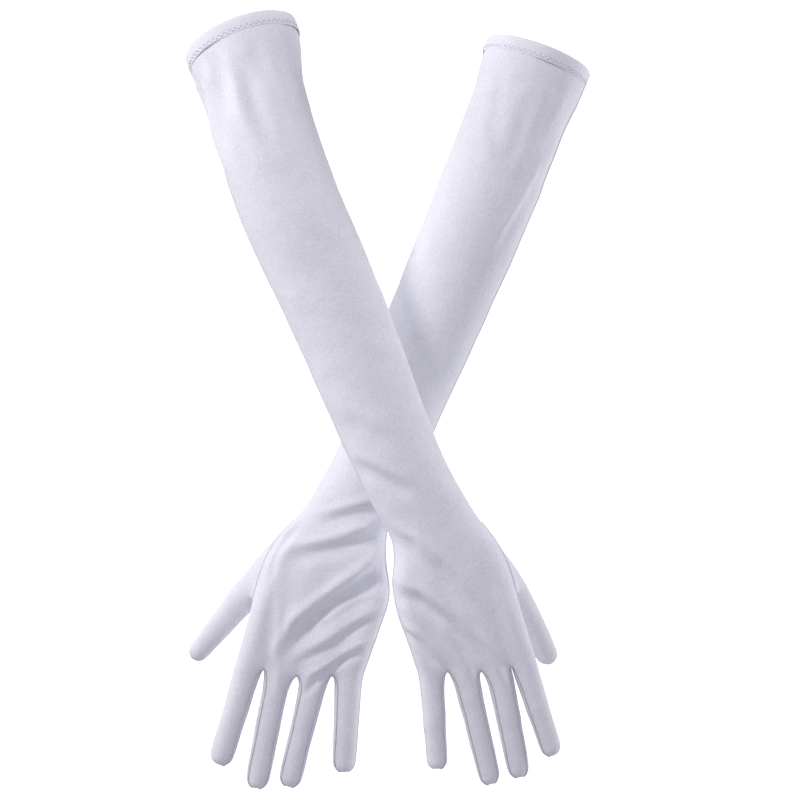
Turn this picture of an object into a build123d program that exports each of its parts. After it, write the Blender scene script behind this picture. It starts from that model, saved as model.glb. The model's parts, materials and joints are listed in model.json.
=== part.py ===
"""A pair of opera-length gloves in thin white knit, crossed at the forearms, hands hanging down.

Units are millimetres. +X is the viewer's right, +Z is up and the backs of the hands face -Y.
The origin is on the left sleeve's centreline where the right sleeve crosses in front of it.
Each glove is sewn from a trank, which is its back and its palm in one piece with a seam on the
little finger's side, a set-in thumb, fourchettes between the fingers and a turned hem. The trank
is modelled as back and palm halves, cut again where the wearer's joints bend it.
"""

import os
from math import radians, tan

from build123d import *

WALL = 0.8  # thickness of the knit
HEM_WALL = 1.6  # the hem is the knit turned over once
HEM_HEIGHT = 10.0
SEAM_RISE = 0.5  # how far a seam's ridge stands out of the panels
SEAM_WIDTH = 1.6
STITCHES = 60  # stitches in each row of the hem
STITCH = (2.2, 0.5, 0.3)  # length, width and height of one stitch
STITCH_ROWS = (7.4, 8.6)  # distances of the two rows below the hem's edge
JOINT_GAP = 0.4  # each panel's clearance to the plane it bends at
JOINT_LAP = 12.0  # how far a sleeve's form runs past its joint before it is trimmed
FINGER_STUB = 9.0  # from the crotch line to the line where a finger bends
FINGER_ROOT = 16.0  # how far a finger's form reaches back into the hand
THUMB_STUB = 36.0
THUMB_ROOT = 24.0
THUMB_SEAM = 22.0  # from the thumb's root to the seam round its base
HEEL = 0.45  # a digit's form narrows to this share of its root radius inside the hand
FOURCHETTE_SHARE = 0.6  # a fourchette's half-depth, as a share of the finger's radius
FOURCHETTE_POINT = 14.0  # length of a fourchette's pointed end
REACH = 150.0  # half the size of the blocks that trim the panels
SEAM_START = 0.72  # a side seam is looked for beyond this share of the half-width

# How far each joint bends, in degrees, away from its bending side and towards it, and how far its
# axis stands off the centreline on that side, as a share of the half-depth there.
WRIST = ((30, 50), 0.0)
FINGER = ((0, 80), 0.5)
THUMB = ((0, 40), 0.5)
ELBOW = ((0, 80), 0.8)

# A section is its centre, its half-width and its half-depth.
# A finger is its root on the crotch line, its tip, and its radius at each.
GLOVES = {
    "right": {
        "hem_way": (-0.35, 0.25, 0.9),
        "upper": [((-98, -22, 257), 38, 38), ((-91, -29, 234), 34, 34), ((-83, -41, 202), 33, 32)],
        "elbow": ((-74, -50, 170), 33, 31),
        "forearm": [((-50, -53, 115), 32.5, 29.5), ((-17, -55, 37), 30, 26)],
        "wrist": ((26.5, -56, -57), 26.5, 20),
        "palm": [((45, -55, -100), 38, 17), ((54, -53, -136), 38, 14)],
        "crotch": ((58, -52, -156), 37, 10),
        "fingers": {
            "index": ((88, -51, -153), (108, -40, -214), 8.4, 6.6),
            "middle": ((72, -51, -157), (86.5, -38, -228.5), 8.8, 6.8),
            "ring": ((49.5, -51, -158), (67.5, -39, -233), 8.8, 6.6),
            "little": ((28.5, -51, -157), (32.5, -40, -222.5), 8.0, 6.2),
        },
        "thumb": ((66, -44, -78), (108, -22, -155), 12, 7.5),
    },
    "left": {
        "hem_way": (0.34, 0.08, 0.94),
        "upper": [((101.5, 8, 251), 36, 36), ((92, 6, 225), 33.5, 33), ((79, 4, 191), 33, 32)],
        "elbow": ((68, 2, 161), 32.5, 31),
        "forearm": [((47, 1, 112), 32, 29), ((16, 0, 37), 29, 25.5)],
        "wrist": ((-26, -1, -56), 27, 20),
        "palm": [((-45, 0, -100), 38.5, 17), ((-55, 2, -141), 39.5, 14)],
        "crotch": ((-60, 4, -165), 40, 10.5),
        "fingers": {
            "index": ((-94, 4, -160), (-115, 14, -228), 9.0, 7.6),
            "middle": ((-74, 4, -166), (-90, 16, -244), 9.0, 7.2),
            "ring": ((-50, 4, -169), (-68, 15, -243), 9.0, 7.2),
            "little": ((-27, 4, -165), (-30.5, 14, -233), 9.0, 7.2),
        },
        "thumb": ((-76, 8, -88), (-134, 34, -158), 12, 7),
    },
}

PALM_SIDE = Vector(0, 1, 0)  # the palms face +Y
FRONT_SIDE = Vector(0, -1, 0)  # the crooks of the elbows face -Y
ULNAR = {"right": -1, "left": 1}  # which way along X the little finger's side lies
FOURCHETTE_SIDES = {
    "index": ["ulnar"],
    "middle": ["radial", "ulnar"],
    "ring": ["radial", "ulnar"],
    "little": ["radial"],
}


def limb_plane(origin, along, bending_side=PALM_SIDE):
    """A plane along a limb: x points to the side it bends to, y along it and z across it."""
    along = along.normalized()
    side = (bending_side - along * bending_side.dot(along)).normalized()
    return Plane(origin=origin, x_dir=side, z_dir=side.cross(along))


def section_plane(limb):
    """The cross-section of a limb_plane, its x still pointing to the bending side."""
    return Plane(origin=limb.origin, x_dir=limb.x_dir, z_dir=limb.z_dir.cross(limb.x_dir))


def joint_plane(point, along, half_depth, joint, bending_side=PALM_SIDE):
    """The limb_plane with its origin on a joint's axis, which is its z."""
    limb = limb_plane(point, along, bending_side)
    limb.origin += limb.x_dir * half_depth * joint[1]
    return limb


def directions(centres):
    """The limb's direction at each centre, from the one before it to the one after it."""
    last = len(centres) - 1
    return [centres[min(i + 1, last)] - centres[max(i - 1, 0)] for i in range(last + 1)]


def tube_form(sections, ways, extra):
    """The solid inside a sleeve or a palm, its sections grown by extra."""
    with BuildPart() as form:
        for (centre, half_width, half_depth), way in zip(sections, ways):
            with BuildSketch(section_plane(limb_plane(Vector(*centre), way))):
                Ellipse(half_depth + extra, half_width + extra)
        loft()
    return form.part


def finger_form(root, tip, root_radius, tip_radius, root_length, extra):
    """A tapered finger with a round tip, begun root_length behind its root."""
    way = (Vector(*tip) - Vector(*root)).normalized()
    limb = limb_plane(Vector(*root), way)
    length = (Vector(*tip) - Vector(*root)).length + extra
    wide, narrow = root_radius + extra, tip_radius + extra
    heel, shoulder, diagonal = wide * HEEL, length - narrow, narrow * 0.5**0.5
    with BuildPart() as form:
        with BuildSketch(limb):
            with BuildLine():
                Polyline((0, length), (0, -root_length), (heel, -root_length), (wide, 0), (narrow, shoulder))
                ThreePointArc((narrow, shoulder), (diagonal, shoulder + diagonal), (0, length))
            make_face()
        revolve(axis=Axis(limb.origin, way))
    return form.part


def beyond(hinge, joint, way):
    """The block on one side of a joint (way 1 is distal, -1 proximal), clear of the bend's two halves."""
    away, towards = (tan(radians(angle / 2)) * REACH for angle in joint[0])
    with BuildPart() as block:
        with BuildSketch(hinge):
            with BuildLine():
                Polyline(
                    (0, way * JOINT_GAP),
                    (-REACH, way * (JOINT_GAP + away)),
                    (-REACH, way * 2 * REACH),
                    (REACH, way * 2 * REACH),
                    (REACH, way * (JOINT_GAP + towards)),
                    close=True,
                )
            make_face()
        extrude(amount=REACH, both=True)
    return block.part


def half_space(limb, palm_side):
    """The block on the palm side of a limb's middle plane, or on its back side."""
    shift = REACH / 2 if palm_side else -REACH / 2
    with BuildPart() as block:
        with BuildSketch(limb):
            with Locations((shift, 0)):
                Rectangle(REACH, 8 * REACH)
        extrude(amount=REACH, both=True)
    return block.part


def across_sign(limb, side):
    """1 where the limb's z points along X the same way as side, or else -1."""
    return 1 if limb.z_dir.X * side > 0 else -1


def side_slab(limb, side, start):
    """The thin slab that a side seam lies in, on one side of a limb from start outwards."""
    sign = across_sign(limb, side)
    with BuildPart() as slab:
        with BuildSketch(limb.offset(sign * start)):
            Rectangle(SEAM_WIDTH, 8 * REACH)
        extrude(amount=sign * REACH)
    return slab.part


def piece(label, shape, minus=(), within=()):
    """A labelled part: shape with some forms taken away, kept only within some blocks."""
    with BuildPart() as made:
        add(shape)
        for form in minus:
            add(form, mode=Mode.SUBTRACT)
        for block in within:
            add(block, mode=Mode.INTERSECT)
    made.part.label = label
    return made.part


def hem(glove, spec):
    """The turned hem, a round band, and its two rows of stitches."""
    centre, radius, _ = spec["upper"][0]
    edge = section_plane(limb_plane(Vector(*centre), -Vector(*spec["hem_way"])))
    with BuildPart() as band:
        with BuildSketch(edge):
            Circle(radius + HEM_WALL / 2)
            Circle(radius - HEM_WALL / 2, mode=Mode.SUBTRACT)
        extrude(amount=HEM_HEIGHT)
    band.part.label = f"{glove}_hem_band"
    length, width, height = STITCH
    with BuildPart() as stitching:
        for row in STITCH_ROWS:
            with Locations(edge.offset(row)):
                with PolarLocations(radius + HEM_WALL / 2 + height / 2, STITCHES):
                    Box(height, length, width)
        add(band.part, mode=Mode.SUBTRACT)
    stitching.part.label = f"{glove}_hem_stitching"
    return [band.part, stitching.part]


def trank(name, forms, limb, side, half_width, within):
    """A tube's back and palm halves, and the raised seam down its little finger's side."""
    outer, inner, ridge = forms
    slab = side_slab(limb, side, SEAM_START * half_width)
    return [
        piece(f"{name}_back", outer, [inner], [*within, half_space(limb, False)]),
        piece(f"{name}_palm", outer, [inner], [*within, half_space(limb, True)]),
        piece(f"{name}_side_seam", ridge, [outer], [*within, slab]),
    ]


def sleeve_chain(spec):
    """The sleeve's sections from its hem to the wrist, and the limb's direction at each."""
    chain = [*spec["upper"], spec["elbow"], *spec["forearm"], spec["wrist"]]
    ways = directions([Vector(*centre) for centre, _, _ in chain])
    ways[0] = -Vector(*spec["hem_way"])
    return chain, ways


def elbow_joint(spec):
    """The elbow's joint plane, which bends towards the front."""
    chain, ways = sleeve_chain(spec)
    centre, _, half_depth = spec["elbow"]
    return joint_plane(Vector(*centre), ways[chain.index(spec["elbow"])], half_depth, ELBOW, FRONT_SIDE)


def wrist_joint(spec):
    """The wrist's joint plane."""
    centre, _, half_depth = spec["wrist"]
    return joint_plane(Vector(*centre), sleeve_chain(spec)[1][-1], half_depth, WRIST)


def moved(section, along, distance):
    """A section carried along a direction."""
    centre, half_width, half_depth = section
    return (tuple(Vector(*centre) + along.normalized() * distance), half_width, half_depth)


def sleeve(glove, spec):
    """The sleeve above the elbow and the sleeve over the forearm."""
    chain, ways = sleeve_chain(spec)
    at_elbow = chain.index(spec["elbow"])
    under_hem = moved(chain[0], ways[0], HEM_HEIGHT)
    upper = [under_hem, *chain[1 : at_elbow + 1], moved(spec["elbow"], ways[at_elbow], JOINT_LAP)]
    upper_ways = [*ways[: at_elbow + 1], ways[at_elbow]]
    forearm = [moved(spec["elbow"], ways[at_elbow], -JOINT_LAP), *chain[at_elbow:-1]]
    forearm.append(moved(spec["wrist"], ways[-1], JOINT_GAP))
    forearm_ways = [ways[at_elbow], *ways[at_elbow:]]
    elbow, wrist = elbow_joint(spec), wrist_joint(spec)
    made = []
    for name, sections, section_ways, block in (
        ("upper", upper, upper_ways, [beyond(elbow, ELBOW, -1)]),
        ("forearm", forearm, forearm_ways, [beyond(elbow, ELBOW, 1), beyond(wrist, WRIST, -1)]),
    ):
        forms = [tube_form(sections, section_ways, extra) for extra in (0, -WALL, SEAM_RISE)]
        centre, half_width, _ = sections[2]
        limb = limb_plane(Vector(*centre), section_ways[2])
        made += trank(f"{glove}_{name}", forms, limb, ULNAR[glove], half_width, block)
    return made


def digit_joint(numbers, stub, joint):
    """The joint plane where a finger or a thumb bends."""
    root, tip, root_radius, _ = numbers
    way = (Vector(*tip) - Vector(*root)).normalized()
    return joint_plane(Vector(*root) + way * stub, way, root_radius, joint)


def digits(spec):
    """Every finger and the thumb: its numbers, its stub, how far back it reaches and its joint."""
    made = {name: (numbers, FINGER_STUB, FINGER_ROOT, FINGER) for name, numbers in spec["fingers"].items()}
    made["thumb"] = (spec["thumb"], THUMB_STUB, THUMB_ROOT, THUMB)
    return made


def hand_form(spec, extra):
    """The hand's solid with its digits' stubs, grown by extra. A shrunk one keeps whole digits."""
    wrist = wrist_joint(spec)
    root = moved(spec["wrist"], wrist.y_dir, -JOINT_GAP)
    chain = [spec["wrist"], *spec["palm"], spec["crotch"]]
    ways = directions([Vector(*centre) for centre, _, _ in chain])
    across = Vector(*spec["fingers"]["index"][0]) - Vector(*spec["fingers"]["little"][0])
    web_way = across.cross(PALM_SIDE)
    ways[0], ways[-1] = wrist.y_dir, web_way if web_way.Z < 0 else -web_way
    if extra < 0:
        chain[-1] = moved(chain[-1], ways[-1], extra)
    solids = [tube_form([root, *chain[1:]], ways, extra)]
    for numbers, stub, back, joint in digits(spec).values():
        stub_side = [] if extra < 0 else [beyond(digit_joint(numbers, stub, joint), joint, -1)]
        solids.append(piece("stub", finger_form(*numbers, back, extra), within=stub_side))
    with BuildPart() as form:
        for solid in solids:
            add(solid)
    return form.part


def thumb_seam(glove, spec, hand_outer):
    """The raised seam round the thumb's base, where it is set into the palm."""
    root, tip, *_ = spec["thumb"]
    way = (Vector(*tip) - Vector(*root)).normalized()
    centre = Vector(*root) + way * THUMB_SEAM
    with BuildPart() as slice_block:
        with BuildSketch(section_plane(limb_plane(centre, way))):
            Circle(REACH)
        extrude(amount=SEAM_WIDTH)
    ridge = finger_form(*spec["thumb"], THUMB_ROOT, SEAM_RISE)
    return piece(f"{glove}_thumb_seam", ridge, [hand_outer], [slice_block.part])


def hand(glove, spec):
    """The hand's halves and seams, with the stubs that the digits bend on."""
    forms = [hand_form(spec, extra) for extra in (0, -WALL, SEAM_RISE)]
    centre, half_width, _ = spec["palm"][0]
    limb = limb_plane(Vector(*centre), Vector(*spec["palm"][1][0]) - Vector(*spec["wrist"][0]))
    block = [beyond(wrist_joint(spec), WRIST, 1)]
    made = trank(f"{glove}_hand", forms, limb, ULNAR[glove], half_width, block)
    return [*made, thumb_seam(glove, spec, forms[0])]


def fourchette_block(hinge, radius, length, sign):
    """The pointed strip down one side of a finger; sign is 1 or -1 along the joint plane's z."""
    half, shoulder, centre = radius * FOURCHETTE_SHARE, length - FOURCHETTE_POINT, -radius * FINGER[1]
    with BuildPart() as block:
        with BuildSketch(hinge):
            with BuildLine():
                Polyline(
                    (centre - half, -REACH),
                    (centre - half, shoulder),
                    (centre, length),
                    (centre + half, shoulder),
                    (centre + half, -REACH),
                    close=True,
                )
            make_face()
        extrude(amount=sign * REACH)
    return block.part


def finger(glove, name, numbers):
    """A finger's back and palm, and the fourchettes down its inner sides."""
    root, tip, root_radius, tip_radius = numbers
    hinge = digit_joint(numbers, FINGER_STUB, FINGER)
    limb = limb_plane(Vector(*root), hinge.y_dir)
    outer = finger_form(*numbers, FINGER_ROOT, 0)
    inner = finger_form(*numbers, FINGER_ROOT + 1, -WALL)
    block = beyond(hinge, FINGER, 1)
    length = (Vector(*tip) - Vector(*root)).length - FINGER_STUB - tip_radius
    strips = {}
    for side in FOURCHETTE_SIDES[name]:
        sign = across_sign(hinge, ULNAR[glove] if side == "ulnar" else -ULNAR[glove])
        strips[side] = fourchette_block(hinge, root_radius, length, sign)
    made = [
        piece(f"{glove}_{name}_back", outer, [inner, *strips.values()], [block, half_space(limb, False)]),
        piece(f"{glove}_{name}_palm", outer, [inner, *strips.values()], [block, half_space(limb, True)]),
    ]
    for side, strip in strips.items():
        made.append(piece(f"{glove}_{name}_{side}_fourchette", outer, [inner], [block, strip]))
    return made


def thumb(glove, spec):
    """The set-in thumb beyond its joint."""
    hinge = digit_joint(spec["thumb"], THUMB_STUB, THUMB)
    outer = finger_form(*spec["thumb"], THUMB_ROOT, 0)
    inner = finger_form(*spec["thumb"], THUMB_ROOT + 1, -WALL)
    return [piece(f"{glove}_thumb", outer, [inner], [beyond(hinge, THUMB, 1)])]


def build_glove(glove, spec):
    """All the pieces of one glove."""
    made = hem(glove, spec) + sleeve(glove, spec) + hand(glove, spec)
    for name, numbers in spec["fingers"].items():
        made += finger(glove, name, numbers)
    return made + thumb(glove, spec)


if __name__ == "__main__":
    os.makedirs("parts", exist_ok=True)
    for glove, spec in GLOVES.items():
        for part in build_glove(glove, spec):
            export_step(part, f"parts/{part.label}.step")
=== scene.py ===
"""The looks of a pair of opera gloves in thin white stretch knit.

Each glove is modelled as one skin: a ring of points is drawn out from the cuff to the crotch line,
the fingers and the thumb are drawn out of that, and the whole is subdivided and pressed into
folds. It is then cut along its seams and joints into its pieces, which get their thickness.
"""

import json
from math import cos, pi, radians, sin, tau

import bmesh
import bpy
import numpy as np
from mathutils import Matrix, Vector, noise


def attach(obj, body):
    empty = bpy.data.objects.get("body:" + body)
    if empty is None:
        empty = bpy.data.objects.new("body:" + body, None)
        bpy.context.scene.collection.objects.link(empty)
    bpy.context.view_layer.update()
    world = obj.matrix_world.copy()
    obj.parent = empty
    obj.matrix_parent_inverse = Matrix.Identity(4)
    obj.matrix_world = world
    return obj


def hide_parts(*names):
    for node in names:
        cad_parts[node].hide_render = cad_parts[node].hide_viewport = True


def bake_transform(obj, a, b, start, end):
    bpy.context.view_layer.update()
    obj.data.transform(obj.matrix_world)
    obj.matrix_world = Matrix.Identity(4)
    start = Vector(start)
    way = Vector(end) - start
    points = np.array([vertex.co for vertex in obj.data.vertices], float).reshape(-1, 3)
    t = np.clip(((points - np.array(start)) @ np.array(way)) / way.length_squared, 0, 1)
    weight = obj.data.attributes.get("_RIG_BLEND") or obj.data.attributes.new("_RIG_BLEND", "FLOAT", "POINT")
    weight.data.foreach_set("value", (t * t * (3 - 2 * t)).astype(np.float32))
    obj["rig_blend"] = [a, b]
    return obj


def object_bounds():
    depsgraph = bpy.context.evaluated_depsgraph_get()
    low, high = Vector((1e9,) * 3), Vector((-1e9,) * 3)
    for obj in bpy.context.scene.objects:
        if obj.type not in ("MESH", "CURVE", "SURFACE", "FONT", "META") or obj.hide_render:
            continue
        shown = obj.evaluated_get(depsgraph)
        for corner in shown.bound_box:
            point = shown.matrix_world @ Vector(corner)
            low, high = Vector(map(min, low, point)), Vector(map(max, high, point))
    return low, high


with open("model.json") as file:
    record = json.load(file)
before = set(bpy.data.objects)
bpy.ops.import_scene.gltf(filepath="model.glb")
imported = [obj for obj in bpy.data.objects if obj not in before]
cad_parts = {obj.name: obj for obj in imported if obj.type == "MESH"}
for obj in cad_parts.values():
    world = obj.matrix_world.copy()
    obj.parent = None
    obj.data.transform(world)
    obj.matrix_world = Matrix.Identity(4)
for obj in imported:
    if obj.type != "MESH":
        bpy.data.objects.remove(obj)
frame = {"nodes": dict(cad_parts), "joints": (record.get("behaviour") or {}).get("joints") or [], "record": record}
cad_box = [list(corner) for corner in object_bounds()]

JOINTS = {joint["name"]: joint for joint in frame["joints"]}
MOUNTS = {mount["name"]: mount for mount in frame["record"]["mounts"]}
FINGERS = ["little", "ring", "middle", "index"]  # from the little finger's side to the thumb's
RADIAL = {"right": Vector((1, 0, 0)), "left": Vector((-1, 0, 0))}  # where the thumb's side lies
PALM = Vector((0, 1, 0))

WALL = 0.0008  # the knit's thickness
RING = 20  # points round a sleeve
RING_STEP = 0.011  # between one ring of a sleeve and the next
LEVELS = (0.14, 0.30, 0.46, 0.64, 0.82, 1.0)  # the palm's rings, from the wrist to the crotch line
HAND_RINGS = 3  # rings above the wrist that belong to the hand's piece
FINGER_STUB = 0.009  # from the crotch line to a finger's joint
THUMB_STUB = 0.036  # from the thumb's root to its joint
THUMB_LEAVES = 0.030  # from the thumb's root to its first ring
ROUND_SHRINK = {8: 0.902, 12: 0.955, 20: 0.984}  # a subdivided ring's size beside its cage
SUBDIVISIONS = 3
TIP = ((0.66, 0.95), (0.25, 0.72), (0.0, 0.30))  # a tip's rings: how far back, and their size, by its radius


# The frame's measures


def read_vectors(items, field):
    """One field of three numbers, such as a mesh's points, as an array."""
    values = np.empty(len(items) * 3)
    items.foreach_get(field, values)
    return values.reshape(-1, 3)


def node_edges(name):
    """A CAD node's points and edges as arrays."""
    mesh = frame["nodes"][name].data
    ends = np.empty(len(mesh.edges) * 2, int)
    mesh.edges.foreach_get("vertices", ends)
    return read_vectors(mesh.vertices, "co"), ends.reshape(-1, 2)


def directions(way):
    """The direction across a limb, to its right, and the direction towards its palm side."""
    deep = (PALM - way * PALM.dot(way)).normalized()
    return way.cross(deep), deep


def section(names, point, way):
    """Where CAD nodes cross a plane: the crossing's centre, half-width and half-depth."""
    across, deep = directions(way)
    found = []
    for name in names:
        points, ends = node_edges(name)
        height = (points - np.array(point)) @ np.array(way)
        low, high = height[ends[:, 0]], height[ends[:, 1]]
        crossed = low * high < 0
        share = (low / np.where(crossed, low - high, 1))[crossed, None]
        start, end = points[ends[crossed, 0]], points[ends[crossed, 1]]
        found.append(start + (end - start) * share)
    found = np.concatenate(found)
    spread = [found @ np.array(axis) for axis in (across, deep)]
    middle = [(values.min() + values.max()) / 2 for values in spread]
    half_width, half_depth = ((values.max() - values.min()) / 2 for values in spread)
    centre = across * middle[0] + deep * middle[1] + way * point.dot(way)
    return centre, float(half_width), float(half_depth)


NEAR_CUT, FAR_CUT = 0.3, 0.7  # where a digit is measured, as shares of its reach


def cad_digit(glove, name, stub):
    """A finger's or thumb's root, direction, length, and radius at its root and at its tip."""
    names = [n for n in frame["nodes"] if n.startswith(f"{glove}_{name}") and "seam" not in n]
    hinge = Vector(JOINTS[f"{glove}_{name}_bend"]["pos_m"])
    points = np.concatenate([node_edges(n)[0] for n in names])
    rough = (Vector(points.mean(axis=0)) - hinge).normalized()
    reach = float(((points - np.array(hinge)) @ np.array(rough)).max())
    near, near_radius, _ = section(names, hinge + rough * reach * NEAR_CUT, rough)
    far, far_radius, _ = section(names, hinge + rough * reach * FAR_CUT, rough)
    way = (far - near).normalized()
    root = near + way * ((hinge - near).dot(way) - stub)
    length = float(((points - np.array(root)) @ np.array(way)).max())
    slope = (far_radius - near_radius) / (far - near).length
    root_radius = near_radius - slope * (near - root).length
    return {"root": root, "way": way, "length": length, "radius": root_radius,
            "tip_radius": root_radius + slope * length}


def smooth_step(low, high, value):
    """0 below low, 1 above high, and smooth between."""
    share = np.clip((value - low) / (high - low), 0, 1)
    return share * share * (3 - 2 * share)


def spline(knots, values, at):
    """A smooth curve through values at knots, read at the given places."""
    knots, values = np.array(knots), np.array(values, float)
    slopes = np.gradient(values, knots, axis=0)
    index = np.clip(np.searchsorted(knots, at) - 1, 0, len(knots) - 2)
    step = (knots[index + 1] - knots[index])[:, None]
    t = (np.array(at) - knots[index])[:, None] / step
    a, b, da, db = values[index], values[index + 1], slopes[index] * step, slopes[index + 1] * step
    from_start = (2 * t**3 - 3 * t**2 + 1) * a + (t**3 - 2 * t**2 + t) * da
    return from_start + (3 * t**2 - 2 * t**3) * b + (t**3 - t**2) * db


UPPER_CUTS = (0.35, 0.6)  # where a sleeve is measured, from the rim to the elbow and on to the wrist
FOREARM_CUTS = (0.14, 0.3, 0.45, 0.6, 0.75, 0.88)
WRIST_CUT = 0.97
WRIST_FLATNESS = 0.75  # a wrist's depth beside its breadth


def sleeve_rings(glove):
    """The sleeve's rings from the cuff's rim to the wrist: centre, direction, half-sizes, and place."""
    cuff = MOUNTS[f"{glove}_cuff"]
    axis, height = Vector(cuff["axis"]).normalized(), cuff["dims"]["length_mm"] / 1000
    radius = cuff["dims"]["r_mm"] / 1000 + WALL
    rim = Vector(cuff["pos_m"]) + axis * height / 2
    elbow = Vector(JOINTS[f"{glove}_elbow"]["pos_m"])
    wrist = Vector(JOINTS[f"{glove}_wrist"]["pos_m"])
    knots = [(rim, radius, radius), (rim - axis * height, radius, radius)]
    upper = [f"{glove}_upper_back", f"{glove}_upper_palm"]
    lower = [f"{glove}_forearm_back", f"{glove}_forearm_palm"]
    way = (elbow - rim).normalized()
    knots += [section(upper, rim.lerp(elbow, share), way) for share in UPPER_CUTS]
    way = (wrist - elbow).normalized()
    knots += [section(lower, elbow.lerp(wrist, share), way) for share in FOREARM_CUTS]
    half_width = section(lower, elbow.lerp(wrist, WRIST_CUT), way)[1]
    knots.append((wrist, half_width, half_width * WRIST_FLATNESS))
    places = [0.0]
    for before, after in zip(knots, knots[1:]):
        places.append(places[-1] + (after[0] - before[0]).length)
    count = round(places[-1] / RING_STEP)
    at = np.linspace(0, places[-1], count + 1)
    values = spline(places, [[*centre, *sizes] for centre, *sizes in knots], at)
    rings = []
    for i, place in enumerate(at):
        before, after = values[max(i - 1, 0)], values[min(i + 1, count)]
        free = smooth_step(0.012, 0.085, place)
        way = (-axis).lerp(Vector(after[:3] - before[:3]).normalized(), free).normalized()
        rings.append((Vector(values[i][:3]), way, *values[i][3:], place - places[-1]))
    return rings


def ring_angle(k):
    """The k-th point's angle round a ring; 0 is the thumb's side and a quarter turn the back."""
    return radians(162 - 18 * k)


def ring_points(centre, way, radial, half_width, half_depth):
    """A ring's points, begun on the back near the little finger and going over to the thumb."""
    across, deep = limb_axes(way, radial)
    grow = 1 / ROUND_SHRINK[RING]
    points = []
    for angle in map(ring_angle, range(RING)):
        out = across * half_width * grow * cos(angle)
        points.append(centre + out - deep * half_depth * grow * sin(angle))
    return points


def limb_axes(way, radial):
    """The direction to the thumb's side and the direction to the palm's side."""
    across, deep = directions(way)
    return (across if across.dot(radial) > 0 else -across), deep


# The cage


class Cage:
    """A glove's coarse skin, drawn out ring by ring in edit mode. Its points are known by number."""

    def __init__(self, name, points, marks):
        bpy.ops.object.select_all(action="DESELECT")
        bpy.ops.mesh.primitive_circle_add(vertices=len(points), radius=0.04)
        self.object = bpy.context.object
        self.object.name = name
        self.marks = {}  # each point's place along the limb, across it and deep in it
        bpy.ops.object.mode_set(mode="EDIT")
        bpy.context.tool_settings.mesh_select_mode = (True, False, False)
        edit = bmesh.from_edit_mesh(self.object.data)
        edit.verts.layers.int.new("number")
        self.add(list(edit.verts), points, marks)

    def mesh(self):
        """The mesh being edited, its layer of point numbers and its points by their numbers."""
        edit = bmesh.from_edit_mesh(self.object.data)
        number = edit.verts.layers.int["number"]
        return edit, number, {vertex[number]: vertex for vertex in edit.verts}

    def add(self, vertices, points, marks):
        """Moves new points to their places, notes their marks and returns their numbers."""
        number = self.mesh()[1]
        first = len(self.marks)
        for i, (vertex, point, mark) in enumerate(zip(vertices, points, marks)):
            vertex.co = point
            vertex[number] = first + i
            self.marks[first + i] = mark
        bmesh.update_edit_mesh(self.object.data)
        return list(range(first, first + len(vertices)))

    def select(self, ring):
        """Selects just these points, with the edges and faces between them."""
        bpy.ops.mesh.select_all(action="DESELECT")
        edit, _, known = self.mesh()
        for i in ring:
            known[i].select = True
        edit.select_flush_mode()
        bmesh.update_edit_mesh(self.object.data)

    def extrude(self, ring, points, marks):
        """Draws a ring or a patch out to new places, and returns its new points in order."""
        self.select(ring)
        bpy.ops.mesh.extrude_region()
        edit, number, _ = self.mesh()
        drawn = {vertex[number]: vertex for vertex in edit.verts if vertex.select}
        return self.add([drawn[i] for i in ring], points, marks)

    def bridge_web(self, back, palm, mark):
        """Joins the back to the palm between two fingers, with one point in the middle."""
        self.select([back, palm])
        bpy.ops.mesh.edge_face_add()
        bpy.ops.mesh.subdivide(number_cuts=1)
        edit, number, _ = self.mesh()
        around = {v: {e.other_vert(v)[number] for e in v.link_edges} for v in edit.verts if v.select}
        middle = next(vertex for vertex, near in around.items() if near == {back, palm})
        return self.add([middle], [middle.co.copy()], [mark])[0]

    def close(self, ring):
        """Closes a ring with one face."""
        self.select(ring)
        bpy.ops.mesh.edge_face_add()


def ring_marks(along):
    """The marks of a whole ring."""
    return [(along, cos(ring_angle(k)), -sin(ring_angle(k))) for k in range(RING)]


# How far the crotch line's points lie from a finger's root, as shares of its radius.
OVER_FINGER = 1.12
BESIDE_FINGER = 1.14
CORNER = (0.86, 0.74)
WEB = 0.36
WEB_SET_BACK = 0.0012  # how far the points between two fingers lie back towards the wrist


def crotch_ring(digits, across, deep):
    """The ring at the crotch line: over each finger's middle, and between the fingers."""
    points = [None] * RING
    for f, name in enumerate(FINGERS):
        finger = digits[name]
        points[2 * f + 1] = finger["root"] - deep * finger["radius"] * OVER_FINGER
        points[17 - 2 * f] = finger["root"] + deep * finger["radius"] * OVER_FINGER
        if f:
            before = digits[FINGERS[f - 1]]
            middle = (before["root"] + finger["root"]) / 2 - (before["way"] + finger["way"]) * WEB_SET_BACK
            half = deep * (before["radius"] + finger["radius"]) * WEB
            points[2 * f], points[18 - 2 * f] = middle - half, middle + half
    for name, side, back, edge, palm in (("little", -1, 0, 19, 18), ("index", 1, 8, 9, 10)):
        finger = digits[name]
        corner = finger["root"] + across * side * finger["radius"] * CORNER[0]
        points[back] = corner - deep * finger["radius"] * CORNER[1]
        points[palm] = corner + deep * finger["radius"] * CORNER[1]
        points[edge] = finger["root"] + across * side * finger["radius"] * BESIDE_FINGER
    return points


PALM_FULL = 0.42  # the level at which the palm has its whole breadth
PALM_DEPTHS = ((0.4, 0.0172), (0.75, 0.0142), (1, 0.0105))  # its half-depth, by level
PALM_ARCH = 0.002  # how far its middle bows towards the back


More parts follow.
